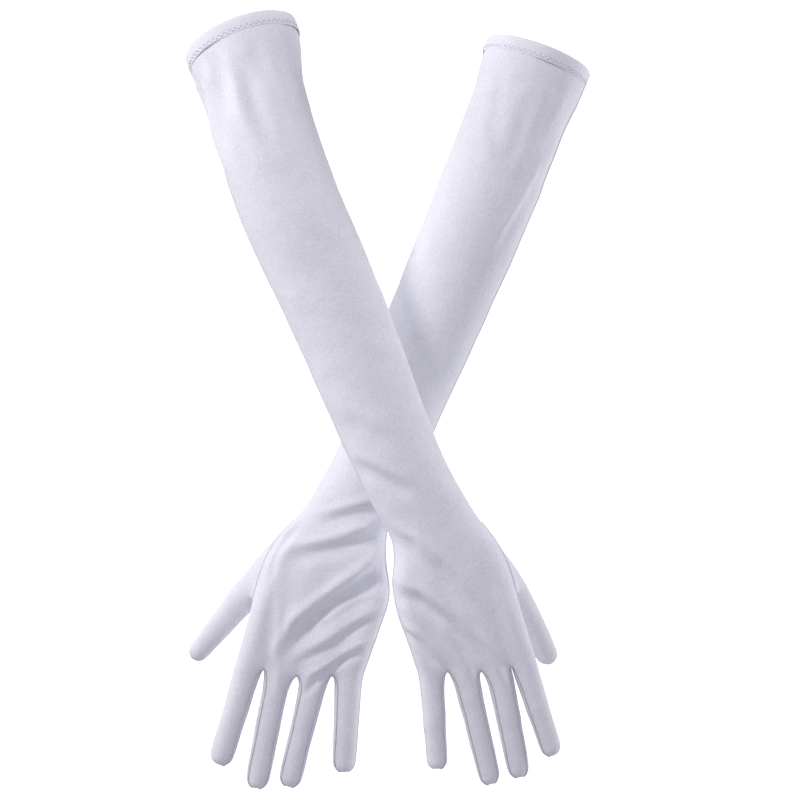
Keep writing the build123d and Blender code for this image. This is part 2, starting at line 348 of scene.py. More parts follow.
def draw_palm(cage, ring, wrist, digits, radial):
    """Draws the palm out of the wrist, and returns its rings; the last is at the crotch line."""
    centre, way, half_width, half_depth, _ = wrist
    across = limb_axes(way, radial)[0]
    web_across = (digits["index"]["root"] - digits["little"]["root"]).normalized()
    end_way = web_across.cross(PALM)
    end_way = (end_way if end_way.dot(way) > 0 else -end_way).normalized()
    end_axes = limb_axes(end_way, radial)
    end_points = crotch_ring(digits, *end_axes)
    end = sum(end_points, Vector()) / RING
    end_half = max((p - end).dot(end_axes[0]) for p in end_points)
    length = (end - centre).length
    rings = [ring]
    for level in LEVELS:
        ease = level * level * (3 - 2 * level)
        turn = way.lerp(end_way, ease).normalized()
        across, deep = limb_axes(turn, radial)
        filled = min(level / PALM_FULL, 1)
        filled = filled * filled * (3 - 2 * filled)
        width = half_width + (end_half - half_width) * filled
        depth = float(np.interp(level, *zip((0, half_depth), *PALM_DEPTHS)))
        middle = centre.lerp(end, level) - deep * PALM_ARCH * sin(pi * level)
        points = []
        for k in range(RING):
            offset = end_points[k] - end
            x = (1 - ease) * cos(ring_angle(k)) + ease * offset.dot(end_axes[0]) / end_half
            y = (1 - ease) * -sin(ring_angle(k)) + ease * offset.dot(end_axes[1]) / PALM_DEPTHS[-1][1]
            lift = ease * offset.dot(end_way)
            grow = 1 + (1 / ROUND_SHRINK[RING] - 1) * (1 - ease)
            points.append(middle + across * width * x * grow + deep * depth * y * grow + turn * lift)
        if level == 1:
            points = end_points
        ring = cage.extrude(ring, points, ring_marks(length * level))
        rings.append(ring)
    return rings, length


FINGER_RINGS = (0.005, 0.014, 6)  # the first ring, the second, and how many there are from it to the tip
FINGER_CORNERS = ((0, 0.6, 0.9), (45, 42, 26))  # a ring's corners in degrees, by the share of the length
FINGER_FLATNESS = 0.97
TIP_BACK = 1.25  # where a digit's last straight ring is, back from its tip, by the tip's radius


def draw_finger(cage, opening, finger, radial, along):
    """Draws a finger out of its opening, and returns its rings."""
    across, deep = limb_axes(finger["way"], radial)
    cage.close(opening)
    rings, ring = [opening], opening
    length, narrow = finger["length"], finger["tip_radius"]
    first, second, count = FINGER_RINGS
    body = [first, *np.linspace(second, length - TIP_BACK * narrow, count)]
    stations = [(d, 1.0) for d in body] + [(length - back * narrow, share) for back, share in TIP]
    for distance, share in stations:
        radius = finger["radius"] + (narrow - finger["radius"]) * distance / length
        radius *= share / ROUND_SHRINK[8]
        corner = radians(float(np.interp(distance / length, *FINGER_CORNERS)))
        angles = [pi - corner, pi / 2, corner, 0, -corner, -pi / 2, corner - pi, pi]
        centre = finger["root"] + finger["way"] * distance
        points = [
            centre + across * radius * cos(a) - deep * radius * FINGER_FLATNESS * sin(a)
            for a in angles
        ]
        marks = [(along + distance, cage.marks[v][1], -sin(a)) for v, a in zip(opening, angles)]
        ring = cage.extrude(ring, points, marks)
        rings.append(ring)
    return rings


def draw_thumb(cage, palm_rings, thumb, radial, palm_way, along):
    """Draws the thumb out of the palm's side, and returns its patches of 4 by 4 points."""
    patch = [palm_rings[row][column] for row in (1, 2, 3, 4) for column in (9, 10, 11, 12)]
    way = thumb["way"]
    down = (palm_way - way * palm_way.dot(way)).normalized()
    deep = way.cross(down)
    deep = deep if deep.dot(PALM) > 0 else -deep
    length, narrow = thumb["length"], thumb["tip_radius"]
    body = [THUMB_LEAVES, *np.linspace(THUMB_LEAVES + RING_STEP, length - TIP_BACK * narrow, 5)]
    stations = [(d, 1.0) for d in body] + [(length - back * narrow, share) for back, share in TIP]
    steps = (-1, -1 / 3, 1 / 3, 1)
    patches = [patch]
    for distance, share in stations:
        radius = thumb["radius"] + (narrow - thumb["radius"]) * distance / length
        radius *= share / ROUND_SHRINK[12]
        centre = thumb["root"] + way * distance
        points = [
            centre
            + down * radius * a * (1 - b * b / 2) ** 0.5
            + deep * radius * b * (1 - a * a / 2) ** 0.5
            for a in steps
            for b in steps
        ]
        marks = [(along + distance, 1.0, b) for a in steps for b in steps]
        patch = cage.extrude(patch, points, marks)
        patches.append(patch)
    return patches


def edge_of_patch(patch):
    """The 12 points round a patch of 4 by 4, in order."""
    return [patch[i] for i in (0, 1, 2, 3, 7, 11, 15, 14, 13, 12, 8, 4)]


FINGER_PARTS = ("back", "back", "radial", "radial", "palm", "palm", "ulnar", "ulnar")
FOURCHETTES = {
    "little": ("radial",),
    "ring": ("radial", "ulnar"),
    "middle": ("radial", "ulnar"),
    "index": ("ulnar",),
}
AROUND = {"finger": (8, 0.05), "thumb": (12, 0.06), "sleeve": (RING, 0.2)}  # points, and metres of knit


def places_round(rings):
    """Each point's place in its ring."""
    return {point: k for ring in rings for k, point in enumerate(ring)}


def name_faces(cage, glove, sleeve, palm_rings, fingers, patches):
    """Gives each face its piece and its place in the knit, and marks the seams' edges."""
    edit = bmesh.from_edit_mesh(cage.object.data)
    for name in ("along", "across", "deep"):
        edit.verts.layers.float.new(name)
    edit.loops.layers.uv.new("knit")
    number, uv = edit.verts.layers.int["number"], edit.loops.layers.uv["knit"]
    layers = [edit.verts.layers.float[name] for name in ("along", "across", "deep")]
    for vertex in edit.verts:
        for layer, value in zip(layers, cage.marks[vertex[number]]):
            vertex[layer] = value
    pieces = [f"{glove}_sleeve", f"{glove}_hand", f"{glove}_thumb"]
    for name in FINGERS:
        pieces.append(f"{glove}_{name}_panel")
        pieces += [f"{glove}_{name}_{side}_fourchette" for side in FOURCHETTES[name]]
    for piece in pieces:
        cage.object.data.materials.append(bpy.data.materials.new(piece))
    rings = [*sleeve, *palm_rings[1:]]
    turn = places_round(rings)
    hand = {v for ring in rings[len(sleeve) - 1 - HAND_RINGS :] for v in ring}
    finger_turn = {name: places_round(found) for name, found in fingers.items()}
    finger_new = {name: {v for ring in found[1:] for v in ring} for name, found in fingers.items()}
    thumb_turn = places_round([edge_of_patch(patch) for patch in patches])
    thumb_new = {v for patch in patches[1:] for v in patch}
    for face in edit.faces:
        corners = [v[number] for v in face.verts]
        digit = next((name for name in FINGERS if finger_new[name] & set(corners)), None)
        if digit:
            places, (count, round_size) = finger_turn[digit], AROUND["finger"]
            around = sorted(places[v] for v in corners if v in finger_new[digit])
            first = 7 if around[0] == 0 and around[-1] == 7 and len(around) < 8 else around[0]
            part = FINGER_PARTS[first] if len(corners) == 4 else "back"
            part = f"{part}_fourchette" if part in FOURCHETTES[digit] else "panel"
            piece = f"{glove}_{digit}_{part}"
        elif thumb_new & set(corners):
            places, (count, round_size) = thumb_turn, AROUND["thumb"]
            piece = f"{glove}_thumb"
        else:
            places, (count, round_size) = turn, AROUND["sleeve"]
            piece = f"{glove}_hand" if set(corners) <= hand else f"{glove}_sleeve"
        face.material_index = pieces.index(piece)
        turns = [places.get(v, 0) for v in corners]
        wraps = max(turns) - min(turns) > count / 2
        for loop, k in zip(face.loops, turns):
            k = k + count if wraps and k < count / 2 else k
            loop[uv].uv = (k / count * round_size, cage.marks[loop.vert[number]][0])
    side = {ring[19] for ring in rings} | {ring[7] for ring in fingers["little"]}
    base = set(edge_of_patch(patches[0]))
    for edge in edit.edges:
        ends = {v[number] for v in edge.verts}
        touched = {pieces[face.material_index] for face in edge.link_faces}
        fourchette = any("fourchette" in p for p in touched) and any("panel" in p for p in touched)
        thumb = touched == {f"{glove}_thumb", f"{glove}_hand"} and ends <= base
        edge.seam = fourchette or thumb or ends <= side
    bmesh.update_edit_mesh(cage.object.data)


def build_cage(glove):
    """Draws one glove's whole cage."""
    radial = RADIAL[glove]
    stations = sleeve_rings(glove)
    digits = {name: cad_digit(glove, name, FINGER_STUB) for name in FINGERS}
    thumb = cad_digit(glove, "thumb", THUMB_STUB)
    centre, way, half_width, half_depth, along = stations[0]
    points = ring_points(centre, way, radial, half_width, half_depth)
    cage = Cage(glove, points, ring_marks(along))
    ring = list(range(RING))
    sleeve = [ring]
    for centre, way, half_width, half_depth, along in stations[1:]:
        points = ring_points(centre, way, radial, half_width, half_depth)
        ring = cage.extrude(ring, points, ring_marks(along))
        sleeve.append(ring)
    palm_rings, length = draw_palm(cage, ring, stations[-1], digits, radial)
    crotch = palm_rings[-1]
    middles = {0: crotch[19], 8: crotch[9]}
    for j in (2, 4, 6):
        back, palm = crotch[j], crotch[18 - j]
        middles[j] = cage.bridge_web(back, palm, (length, cage.marks[back][1], 0.0))
    openings = {}
    for f, name in enumerate(FINGERS):
        back = [crotch[2 * f + i] for i in (0, 1, 2)]
        palm = [crotch[18 - 2 * f - i] for i in (2, 1, 0)]
        openings[name] = [*back, middles[2 * f + 2], *palm, middles[2 * f]]
    fingers = {name: draw_finger(cage, openings[name], digits[name], radial, length) for name in FINGERS}
    palm_way = (digits["middle"]["root"] - stations[-1][0]).normalized()
    patches = draw_thumb(cage, palm_rings, thumb, radial, palm_way, length * LEVELS[1])
    name_faces(cage, glove, sleeve, palm_rings, fingers, patches)
    bpy.ops.mesh.select_all(action="SELECT")
    bpy.ops.mesh.normals_make_consistent(inside=False)
    bpy.ops.object.mode_set(mode="OBJECT")
    return cage.object, digits, thumb


def apply_modifier(piece, kind, **settings):
    """Adds one modifier to a piece and applies it."""
    bpy.ops.object.select_all(action="DESELECT")
    piece.select_set(True)
    bpy.context.view_layer.objects.active = piece
    modifier = piece.modifiers.new(kind.title(), kind)
    for name, value in settings.items():
        setattr(modifier, name, value)
    bpy.ops.object.modifier_apply(modifier=modifier.name)


# Folds


def read_attribute(mesh, name):
    """A mesh's point attribute as an array."""
    values = np.empty(len(mesh.vertices))
    mesh.attributes[name].data.foreach_get("value", values)
    return values


def fold_height(x, y, path, height, width, valley=0.0, offset=1.6, valley_width=1.0):
    """A ridge along a path over the cloth, with a valley beside it on the fingers' side."""
    best = np.full(len(x), 1e9)
    signed, travelled = np.zeros(len(x)), np.zeros(len(x))
    lengths = [np.hypot(bx - ax, by - ay) for (ax, ay), (bx, by) in zip(path, path[1:])]
    total, passed = sum(lengths), 0.0
    for (ax, ay), (bx, by), length in zip(path, path[1:], lengths):
        dx, dy = (bx - ax) / length, (by - ay) / length
        run = np.clip((x - ax) * dx + (y - ay) * dy, 0, length)
        away_x, away_y = x - ax - dx * run, y - ay - dy * run
        far = np.hypot(away_x, away_y)
        nearer = far < best
        best = np.where(nearer, far, best)
        signed = np.where(nearer, np.sign(dy * away_x - dx * away_y) * far, signed)
        travelled = np.where(nearer, passed + run, travelled)
        passed += length
    ends = smooth_step(0, 0.3, travelled / total) * smooth_step(0, 0.35, 1 - travelled / total)
    ridge = np.exp(-((signed / width) ** 2))
    dip = np.exp(-(((signed - offset * width) / (width * valley_width)) ** 2))
    return (height * ridge - valley * dip) * ends


# In each fold: a path of (u, t) points over the hand, the ridge's height and width and the valley's
# depth in mm, and how far off the valley lies and how wide it is, as shares of the ridge's width.
# u is 1 on the little finger's side and -1 on the thumb's; t is 0 at the wrist and 1 at the crotch.
HAND_FOLDS = {
    "left": [
        ([(1.10, 0.00), (0.66, 0.20), (0.19, 0.40), (-0.33, 0.64), (-0.60, 0.95)], 3.4, 3.8, 5.2, 2.2, 1.6),
        ([(1.00, -0.12), (0.45, 0.03), (0.01, 0.13), (-0.74, 0.30), (-0.95, 0.45)], 2.4, 3.4, 2.6, 1.8, 1.5),
        ([(1.00, -0.28), (0.35, -0.12), (-0.45, 0.04), (-0.9, 0.12)], 1.7, 3.4, 1.9, 1.7, 1.4),
        ([(0.97, 0.44), (0.62, 0.60), (0.27, 0.72), (-0.29, 0.89)], 1.7, 3.0, 1.8, 1.7, 1.2),
        ([(0.80, 0.36), (0.30, 0.54), (-0.10, 0.72)], 1.1, 2.4, 1.0, 1.6, 1.0),
        ([(1.10, 0.66), (0.55, 0.84), (-0.05, 1.02)], 1.9, 2.8, 2.2, 1.6, 1.1),
        ([(-0.20, 1.04), (-0.50, 0.80), (-0.70, 0.46)], 1.1, 3.0, 1.2, 1.7, 1.2),
        ([(-0.92, 0.14), (-1.02, 0.34), (-0.94, 0.54)], 1.2, 2.4, 1.4, 1.6, 1.0),
        ([(0.95, -2.35), (0.70, -2.05), (0.45, -1.55)], 1.0, 3.4, 1.0, 1.6, 1.2),
        ([(-0.80, -2.60), (-0.50, -2.20), (0.10, -2.00)], 0.8, 5.0, 0.7, 1.6, 1.2),
    ],
    "right": [
        ([(1.00, -0.12), (0.45, 0.05), (0.00, 0.26), (-0.35, 0.58)], 2.2, 5.0, 3.6, 1.7, 1.4),
        ([(1.00, 0.22), (0.55, 0.38), (0.10, 0.62), (-0.20, 0.94)], 2.2, 4.2, 3.8, 1.6, 1.3),
        ([(1.02, 0.54), (0.78, 0.71), (0.54, 0.98)], 2.0, 2.8, 2.3, 1.4, 1.0),
        ([(-0.10, 0.66), (-0.38, 0.86), (-0.62, 1.08)], 1.4, 2.6, 1.5, 1.5, 1.0),
        ([(0.34, 0.66), (0.14, 0.82), (-0.02, 1.04)], 1.1, 2.6, 1.3, 1.5, 1.0),
        ([(1.00, -0.56), (0.50, -0.42), (-0.20, -0.20)], 1.5, 5.0, 1.6, 1.6, 1.2),
        ([(1.00, -0.80), (0.40, -0.72), (-0.30, -0.50)], 0.9, 6.0, 0.9, 1.6, 1.2),
        ([(0.90, -2.50), (0.30, -2.25), (-0.40, -2.20)], 0.5, 6.0, 0.4, 1.6, 1.2),
    ],
}
HALF_BREADTH = 38.0  # mm across the hand for u, and along it for t
HAND_LENGTH = 105.0


def press_folds(skin, glove, length):
    """Presses the folds of the stretched knit into a glove's skin."""
    mesh = skin.data
    along, across, deep = (read_attribute(mesh, name) for name in ("along", "across", "deep"))
    points, normals = read_vectors(mesh.vertices, "co"), read_vectors(mesh.vertex_normals, "vector")
    x, y = -across * HALF_BREADTH, along / length * HAND_LENGTH
    on_back = smooth_step(-0.15, 0.45, -deep)
    lift = np.zeros(len(points))
    for path, *sizes in HAND_FOLDS[glove]:
        steps = [(u * HALF_BREADTH, t * HAND_LENGTH) for u, t in path]
        lift += on_back * fold_height(x, y, steps, *sizes) / 1000
    under_hem = smooth_step(0.009, 0.03, along - along.min())
    lift += soft_creases(points) * under_hem + cuff_folds(glove, points)
    points += normals * lift[:, None]
    mesh.vertices.foreach_set("co", points.ravel())
    mesh.update()


CUFF_FOLDS = {"right": 0.0015, "left": 0.0004}  # how high the folds below the hem stand


def cuff_folds(glove, points):
    """Soft folds that run down from the hem on the thumb's side of the arm."""
    rim, axis, radius, across, deep = cuff_axes(glove)
    offset = points - np.array(rim)
    turn = np.arctan2(offset @ np.array(deep), -(offset @ np.array(across)))
    below = -(offset @ np.array(axis))
    reach = smooth_step(0.011, 0.030, below) * (1 - smooth_step(0.055, 0.11, below))
    folds = np.sin(turn * 9 + 1.2 * np.sin(below * 70)) + 0.6 * np.sin(turn * 15 + 0.7)
    side = smooth_step(-0.3, 0.8, np.cos(turn + 0.5))
    return CUFF_FOLDS[glove] * folds * reach * side


CREASE, SWELL, PUCKER = 0.0003, 0.0004, 0.0001  # how far each lifts the knit


def soft_creases(points):
    """Slight slanting creases and puckers over the whole glove."""
    seed = Vector((3.1, 7.7, 1.3))
    lift = np.empty(len(points))
    for i, (x, y, z) in enumerate(points):
        slant = Vector((x * 26 + z * 14, y * 24, z * 34 - x * 16))
        crease = noise.noise(slant + seed)
        swell = noise.noise(Vector((x, y, z)) * 38 + seed)
        pucker = noise.noise(Vector((x, y, z)) * 120)
        lift[i] = CREASE * (1 - abs(crease) * 2.4) + SWELL * swell + PUCKER * pucker
    return lift


# Pieces


def only(piece):
    """Selects one object alone and makes it the active one."""
    bpy.ops.object.select_all(action="DESELECT")
    piece.select_set(True)
    bpy.context.view_layer.objects.active = piece


def cut_apart(skin):
    """Cuts a glove's skin along its pieces' borders, and returns the pieces by name."""
    only(skin)
    bpy.ops.object.mode_set(mode="EDIT")
    bpy.ops.mesh.separate(type="MATERIAL")
    bpy.ops.object.mode_set(mode="OBJECT")
    pieces = {}
    for piece in bpy.context.selected_objects:
        name = piece.data.materials[piece.data.polygons[0].material_index].name
        piece.name = piece.data.name = f"{name}_knit"
        pieces[name] = piece
    return dict(sorted(pieces.items()))


def finish_panel(piece, material):
    """Gives a panel its thickness, its smooth shading and its material."""
    piece.data.materials.clear()
    piece.data.materials.append(material)
    for name in ("along", "across", "deep", "number"):
        piece.data.attributes.remove(piece.data.attributes[name])
    apply_modifier(piece, "SOLIDIFY", thickness=WALL, offset=-1, use_even_offset=False)
    only(piece)
    bpy.ops.object.shade_smooth_by_angle(angle=radians(60))


def welt(name, skin, chosen, thickness, material):
    """A round seam welt along the skin's chosen seam edges."""
    only(skin)
    bpy.ops.object.duplicate()
    piece = bpy.context.object
    edit = bmesh.new()
    edit.from_mesh(piece.data)
    normals = {v: v.normal.copy() for v in edit.verts}
    kept = {edge for edge in edit.edges if edge.seam and chosen(edge)}
    points = {v for edge in kept for v in edge.verts}
    for vertex in points:
        vertex.co += normals[vertex] * thickness * 0.25
    bmesh.ops.delete(edit, geom=list(edit.faces), context="FACES_ONLY")
    loose = [edge for edge in edit.edges if edge not in kept]
    bmesh.ops.delete(edit, geom=loose, context="EDGES")
    bmesh.ops.delete(edit, geom=[v for v in edit.verts if not v.link_edges], context="VERTS")
    edit.to_mesh(piece.data)
    edit.free()
    only(piece)
    bpy.ops.object.convert(target="CURVE")
    curve = bpy.context.object
    curve.data.bevel_depth = thickness / 2
    curve.data.bevel_resolution = 1
    curve.data.use_fill_caps = True
    bpy.ops.object.convert(target="MESH")
    piece = bpy.context.object
    piece.name = piece.data.name = f"{name}_welt"
    bpy.ops.object.shade_smooth()
    piece.data.materials.clear()
    piece.data.materials.append(material)
    return piece


# The hem's section, from its lower outer edge over the rim and down inside: how far it stands out
# of the sleeve, and how far it is below the rim, in mm.
HEM_SECTION = [
    (-0.2, 10.3), (0.35, 10.1), (0.6, 9.5), (0.42, 8.6), (0.58, 8.0), (0.42, 7.4), (0.7, 6.6), (0.8, 4.0),
    (0.8, 1.2), (0.45, 0.2), (0.0, 0.0), (-0.5, 0.25), (-0.8, 1.2), (-0.9, 5.0), (-0.9, 9.6), (-0.75, 10.3),
]
STITCH_SEAT = 0.00062  # how far a stitch's middle stands out of the sleeve
HEM_SPANS = 96


def cuff_axes(glove):
    """A cuff's rim, the direction out of it, its radius, and two directions across it."""
    cuff = MOUNTS[f"{glove}_cuff"]
    axis = Vector(cuff["axis"]).normalized()
    rim = Vector(cuff["pos_m"]) + axis * cuff["dims"]["length_mm"] / 2000
    radius = cuff["dims"]["r_mm"] / 1000 + WALL
    across, deep = limb_axes(-axis, RADIAL[glove])
    return rim, axis, radius, across, deep


def hem_wave(glove, turn):
    """How far the hem's edge swings out of a true circle."""
    phase = 0.6 if glove == "left" else 2.1
    return 0.00045 * sin(3 * turn + phase) + 0.00025 * sin(7 * turn + 2 * phase)


def hem_band(glove, material):
    """The turned hem: a ring drawn along its section and closed on itself."""
    rim, axis, radius, across, deep = cuff_axes(glove)
    bpy.ops.object.select_all(action="DESELECT")
    bpy.ops.mesh.primitive_circle_add(vertices=HEM_SPANS, radius=radius)
    piece = bpy.context.object
    piece.name = piece.data.name = f"{glove}_hem"
    bpy.ops.object.mode_set(mode="EDIT")
    for i, (out, below) in enumerate(HEM_SECTION):
        if i:
            bpy.ops.mesh.extrude_region()
        edit = bmesh.from_edit_mesh(piece.data)
        ring = [v for v in edit.verts if v.select]
        for k, vertex in enumerate(ring):
            turn = tau * k / HEM_SPANS
            far = radius + out / 1000 + hem_wave(glove, turn)
            vertex.co = rim - axis * below / 1000 + across * far * cos(turn) + deep * far * sin(turn)
        bmesh.update_edit_mesh(piece.data)
    bpy.ops.mesh.select_all(action="DESELECT")
    edit = bmesh.from_edit_mesh(piece.data)
    for edge in edit.edges:
        edge.select = edge.is_boundary
    bmesh.update_edit_mesh(piece.data)
    bpy.ops.mesh.bridge_edge_loops()
    bpy.ops.mesh.select_all(action="SELECT")
    bpy.ops.mesh.normals_make_consistent(inside=False)
    bpy.ops.object.mode_set(mode="OBJECT")
    apply_modifier(piece, "SUBSURF", levels=1, render_levels=1)
    bpy.ops.object.shade_smooth()
    piece.data.materials.append(material)
    return piece


STITCH_ROWS = (7.4, 8.6)  # mm below the rim
STITCHES = 60
STITCH = (0.0012, 0.00034, 0.00028)  # half-length, half-width and half-height


def hem_stitching(glove, material):
    """The two rows of stitches that hold the hem."""
    rim, axis, radius, across, deep = cuff_axes(glove)
    bpy.ops.object.select_all(action="DESELECT")
    bpy.ops.mesh.primitive_uv_sphere_add(segments=8, ring_count=5, radius=1)
    piece = bpy.context.object
    piece.name = piece.data.name = f"{glove}_hem_stitches"
    bpy.ops.object.mode_set(mode="EDIT")
    for row, below in enumerate(STITCH_ROWS):
        for k in range(STITCHES):
            if row or k:
                bpy.ops.mesh.primitive_uv_sphere_add(segments=8, ring_count=5, radius=1)
            turn = tau * (k + row / 2) / STITCHES
            out = across * cos(turn) + deep * sin(turn)
            side = axis.cross(out)
            centre = rim - axis * below / 1000 + out * (radius + STITCH_SEAT + hem_wave(glove, turn))
            edit = bmesh.from_edit_mesh(piece.data)
            for vertex in [v for v in edit.verts if v.select]:
                x, y, z = vertex.co
                vertex.co = centre + side * x * STITCH[0] + axis * y * STITCH[1] + out * z * STITCH[2]
            bpy.ops.mesh.select_all(action="DESELECT")
    bpy.ops.mesh.select_all(action="SELECT")
    bpy.ops.mesh.normals_make_consistent(inside=False)
    bpy.ops.object.mode_set(mode="OBJECT")
    bpy.ops.object.transform_apply()
    bpy.ops.object.shade_smooth()
    piece.data.materials.append(material)
    return piece


# Materials


class Nodes:
    """A new material with short ways to add its nodes."""

    def __init__(self, name):
        self.material = bpy.data.materials.new(name)
        self.material.use_nodes = True
        self.tree = self.material.node_tree
        self.shader = self.tree.nodes["Principled BSDF"]

    def add(self, kind, **settings):
        node = self.tree.nodes.new(kind)
        for name, value in settings.items():
            setattr(node, name, value)
        return node

    def link(self, output, socket):
        self.tree.links.new(output, socket)

    def maths(self, operation, first, second=0.0):
        node = self.add("ShaderNodeMath", operation=operation)
        for socket, value in zip(node.inputs, (first, second)):
            if isinstance(value, (int, float)):
                socket.default_value = value
            else:
                self.link(value, socket)
        return node.outputs[0]

    def noise(self, place, scale, detail=4.0, roughness=0.55):
        node = self.add("ShaderNodeTexNoise")
        node.inputs["Scale"].default_value = scale
        node.inputs["Detail"].default_value = detail
        node.inputs["Roughness"].default_value = roughness
        self.link(place, node.inputs["Vector"])
        return node.outputs["Fac"]

    def ramp(self, value, stops):
        node = self.add("ShaderNodeValToRGB")
        elements = node.color_ramp.elements
        while len(elements) < len(stops):
            elements.new(0.5)
        for element, (position, colour) in zip(elements, stops):
            element.position, element.color = position, (*colour, 1)
        self.link(value, node.inputs["Fac"])
        return node.outputs["Color"]

    def bump(self, height, distance, strength=1.0, under=None):
        node = self.add("ShaderNodeBump")
        node.inputs["Strength"].default_value = strength
        node.inputs["Distance"].default_value = distance
        self.link(height, node.inputs["Height"])
        if under:
            self.link(under, node.inputs["Normal"])
        return node.outputs["Normal"]


WALE = 0.0008  # from one column of stitches to the next
COURSE = 0.00062


def knit_material(name, light, shade, wale=WALE):
    """Fine stretch knit: columns of V-shaped stitches, mottled yarn, and a soft nap."""
    nodes = Nodes(name)
    place = nodes.add("ShaderNodeTexCoord").outputs["Object"]
    uv = nodes.add("ShaderNodeUVMap", uv_map="knit").outputs["UV"]
    split = nodes.add("ShaderNodeSeparateXYZ")
    nodes.link(uv, split.inputs[0])
    column = nodes.maths("FRACT", nodes.maths("DIVIDE", split.outputs["X"], wale))
    off_centre = nodes.maths("ABSOLUTE", nodes.maths("SUBTRACT", column, 0.5))
    row = nodes.maths("DIVIDE", split.outputs["Y"], COURSE)
    legs = nodes.maths("SINE", nodes.maths("MULTIPLY", nodes.maths("ADD", row, off_centre), tau))
    rib = nodes.maths("SUBTRACT", 1.0, nodes.maths("POWER", nodes.maths("MULTIPLY", off_centre, 2.0), 2.0))
    stitches = nodes.maths("ADD", nodes.maths("MULTIPLY", rib, 0.7), nodes.maths("MULTIPLY", legs, 0.18))
    mottle = nodes.noise(place, 60, 5.0, 0.65)
    fuzz = nodes.noise(place, 900, 3.0, 0.7)
    lumps = nodes.noise(place, 260, 2.0, 0.5)
    tone = nodes.maths("ADD", nodes.maths("MULTIPLY", mottle, 0.25), nodes.maths("MULTIPLY", rib, 0.22))
    tone = nodes.maths("ADD", tone, nodes.maths("MULTIPLY", fuzz, 0.9))
    nodes.link(nodes.ramp(tone, [(0.50, shade), (0.88, light)]), nodes.shader.inputs["Base Color"])
    bumps = nodes.bump(lumps, 0.0006, 0.5)
    bumps = nodes.bump(fuzz, 0.00035, 0.8, bumps)
    bumps = nodes.bump(stitches, 0.00012, 0.7, bumps)
    nodes.link(bumps, nodes.shader.inputs["Normal"])
    nodes.shader.inputs["Roughness"].default_value = 0.82
    nodes.shader.inputs["Specular IOR Level"].default_value = 0.25
    nodes.shader.inputs["Sheen Weight"].default_value = 0.12
    nodes.shader.inputs["Sheen Roughness"].default_value = 0.6
    return nodes.material


def thread_material(name, light, shade):
    """Twisted sewing thread."""
    nodes = Nodes(name)
    place = nodes.add("ShaderNodeTexCoord").outputs["Object"]
    twist = nodes.add("ShaderNodeTexWave", wave_type="BANDS", bands_direction="DIAGONAL")
    twist.inputs["Scale"].default_value = 900
    twist.inputs["Distortion"].default_value = 2.0
    nodes.link(place, twist.inputs["Vector"])
    fuzz = nodes.noise(place, 1400, 3.0, 0.7)
    twisted = nodes.maths("MULTIPLY", twist.outputs["Fac"], 0.6)
    tone = nodes.maths("ADD", twisted, nodes.maths("MULTIPLY", fuzz, 0.4))
    nodes.link(nodes.ramp(tone, [(0.2, shade), (0.8, light)]), nodes.shader.inputs["Base Color"])
    bumps = nodes.bump(twist.outputs["Fac"], 0.00008, 0.6)
    nodes.link(bumps, nodes.shader.inputs["Normal"])
    nodes.shader.inputs["Roughness"].default_value = 0.7
    return nodes.material


# Gloves

ELBOW_REACH = 0.035  # how far each side of a joint the knit stretches with it
WRIST_BEFORE, WRIST_AFTER = 0.026, 0.012
FINGER_START, FINGER_END = 0.001, 0.019  # from a finger's root
THUMB_START, THUMB_END = 0.026, 0.048  # from the thumb's


SIDE_WELT, LITTLE_WELT, THUMB_WELT, FOURCHETTE_WELT = 0.0011, 0.0009, 0.0009, 0.0008  # thicknesses


def bend_at(piece, glove, bodies, joint, way, before, after):
    """Lets a piece stretch from one body to the next over a joint."""
    hinge = Vector(JOINTS[f"{glove}_{joint}"]["pos_m"])
    near, far = (f"{glove}_{body}" for body in bodies)
    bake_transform(piece, near, far, start=hinge - way * before, end=hinge + way * after)


def bend_digit(piece, glove, body, digit, start, end):
    """Lets a piece stretch from the hand to a finger or the thumb."""
    root, way = digit["root"], digit["way"]
    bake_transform(piece, f"{glove}_hand", f"{glove}_{body}", start=root + way * start, end=root + way * end)


def seam_kind(touched):
    """Which seam runs between the touched pieces; the side seam runs inside one, or from one to the next."""
    if len(touched) == 1 or touched == {"sleeve", "hand"}:
        return "side"
    return "fourchette" if any("fourchette" in name for name in touched) else "thumb"


def sew_seams(glove, skin, seam_thread, gusset_thread):
    """The welts of a glove's seams, by name."""
    names = [material.name.removeprefix(f"{glove}_") for material in skin.data.materials]
    sewn = [
        ("sleeve_side_seam", "side", "sleeve", SIDE_WELT),
        ("hand_side_seam", "side", "hand", SIDE_WELT),
        ("little_side_seam", "side", "little_panel", LITTLE_WELT),
        ("thumb_seam", "thumb", "thumb", THUMB_WELT),
    ]
    for name, sides in FOURCHETTES.items():
        for side in sides:
            piece = f"{name}_{side}_fourchette"
            sewn.append((f"{piece}_seams", "fourchette", piece, FOURCHETTE_WELT))
    seams = {}
    for name, kind, piece, thickness in sewn:

        def chosen(edge):
            touched = {names[face.material_index] for face in edge.link_faces}
            return seam_kind(touched) == kind and piece in touched

        # The fourchette seams take the grey thread, whose tone paints shade along them.
        thread = gusset_thread if kind == "fourchette" else seam_thread
        seams[name] = welt(f"{glove}_{name}", skin, chosen, thickness, thread)
    return seams


